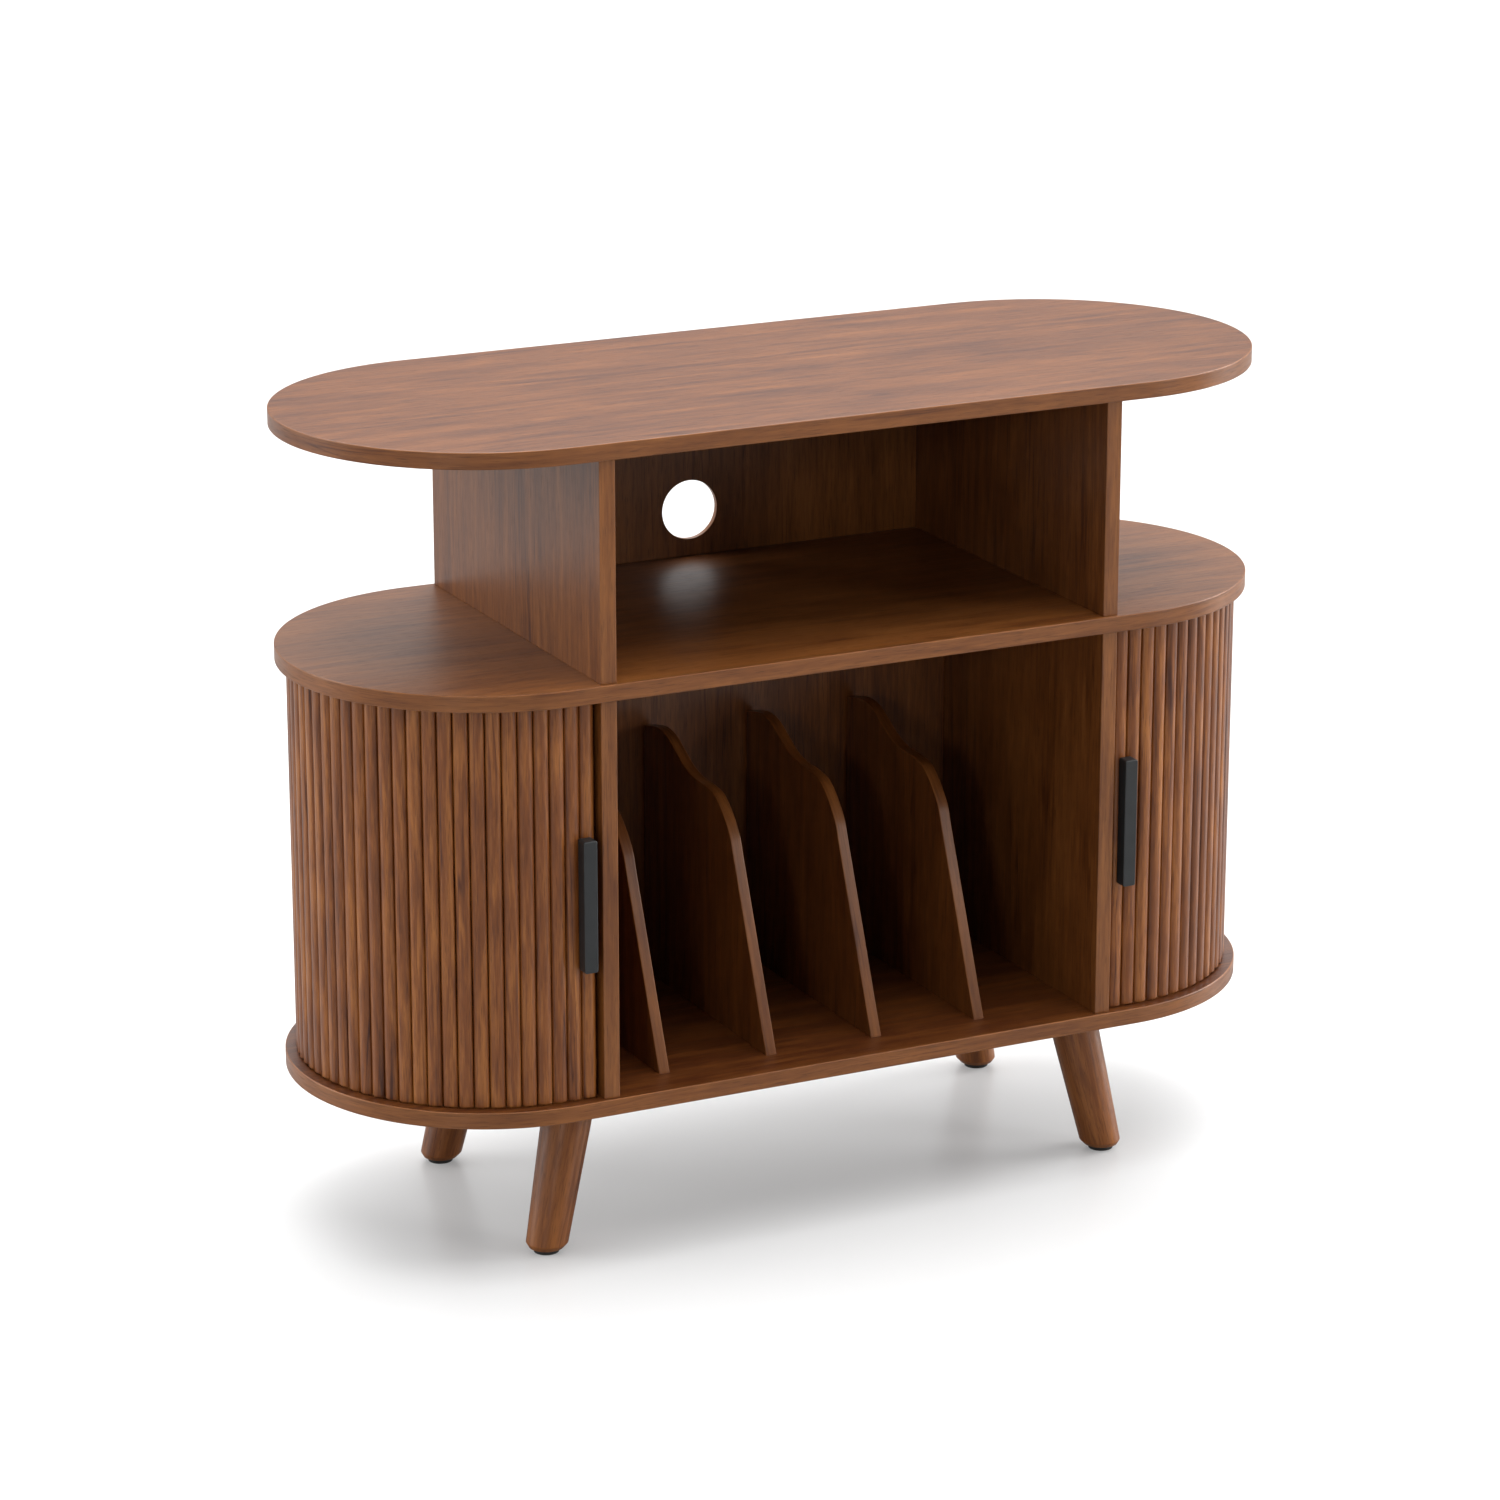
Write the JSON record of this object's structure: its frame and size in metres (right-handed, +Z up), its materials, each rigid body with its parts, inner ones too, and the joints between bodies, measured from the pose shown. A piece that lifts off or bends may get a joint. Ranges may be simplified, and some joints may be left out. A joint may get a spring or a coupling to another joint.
{
  "type": "media cabinet",
  "caption": "Walnut media and record cabinet with half-round ends: open media bay above, divided record bay below, tambour doors round both ends, splayed legs.",
  "frame": {"origin": "on the floor under the middle of the cabinet", "axes": "+X to the right along the length, +Y towards the back, +Z up; the open front faces -Y"},
  "size_m": [1, 0.4038, 0.8],
  "materials": {
    "walnut_board": "satin walnut veneer, grain along the length of the boards",
    "walnut_slat": "satin walnut reeds, grain upright",
    "walnut_leg": "satin turned walnut",
    "walnut_ply": "satin walnut-faced plywood",
    "black_metal": "matt black powder coat",
    "canvas": "plain woven cotton canvas, dark brown",
    "glide_rubber": "matt black",
    "steel": "zinc-plated steel",
    "brass": "plain brass",
    "beech": "raw beech"
  },
  "bodies": {
    "cabinet": {"top_panel": "walnut_board", "mid_panel": "walnut_board", "bottom_panel": "walnut_board", "upper_partition_left": "walnut_board", "upper_partition_right": "walnut_board", "lower_partition_left": "walnut_board", "lower_partition_right": "walnut_board", "upper_back_panel": "walnut_board", "lower_back_panel": "walnut_board", "rear_panel": "walnut_ply", "rear_shell_left": "walnut_ply", "rear_shell_right": "walnut_ply", "record_divider_1": "walnut_board", "record_divider_2": "walnut_board", "record_divider_3": "walnut_board", "record_divider_4": "walnut_board", "leg_front_left": "walnut_leg", "leg_rear_left": "walnut_leg", "leg_front_right": "walnut_leg", "leg_rear_right": "walnut_leg", "glide_pad_front_left": "glide_rubber", "glide_pad_rear_left": "glide_rubber", "glide_pad_front_right": "glide_rubber", "glide_pad_rear_right": "glide_rubber", "hanger_bolt_front_left": "steel", "hanger_bolt_rear_left": "steel", "hanger_bolt_front_right": "steel", "hanger_bolt_rear_right": "steel", "threaded_insert_front_left": "brass", "threaded_insert_rear_left": "brass", "threaded_insert_front_right": "brass", "threaded_insert_rear_right": "brass", "dowel_upper_left_base_front": "beech", "dowel_upper_left_base_rear": "beech", "dowel_upper_left_head_front": "beech", "dowel_upper_left_head_rear": "beech", "dowel_upper_right_base_front": "beech", "dowel_upper_right_base_rear": "beech", "dowel_upper_right_head_front": "beech", "dowel_upper_right_head_rear": "beech", "dowel_lower_left_base_front": "beech", "dowel_lower_left_base_rear": "beech", "dowel_lower_left_head_front": "beech", "dowel_lower_left_head_rear": "beech", "dowel_lower_right_base_front": "beech", "dowel_lower_right_base_rear": "beech", "dowel_lower_right_head_front": "beech", "dowel_lower_right_head_rear": "beech"},
    "left_tambour": {"left_lead_slat": "walnut_slat", "left_slat_run": "walnut_slat", "left_canvas_backing": "canvas", "left_handle": "black_metal", "left_handle_screw_lower": "steel", "left_handle_screw_upper": "steel"},
    "right_tambour": {"right_lead_slat": "walnut_slat", "right_slat_run": "walnut_slat", "right_canvas_backing": "canvas", "right_handle": "black_metal", "right_handle_screw_lower": "steel", "right_handle_screw_upper": "steel"}
  },
  "joints": [
    {"name": "left_tambour_slide", "type": "hinge", "parent": "cabinet", "child": "left_tambour", "pos_m": [-0.3, 0, 0.3645], "axis": [0, 0, -1], "range_deg": [0, 88]},
    {"name": "right_tambour_slide", "type": "hinge", "parent": "cabinet", "child": "right_tambour", "pos_m": [0.3, 0, 0.3645], "axis": [0, 0, 1], "range_deg": [0, 88]}
  ]
}
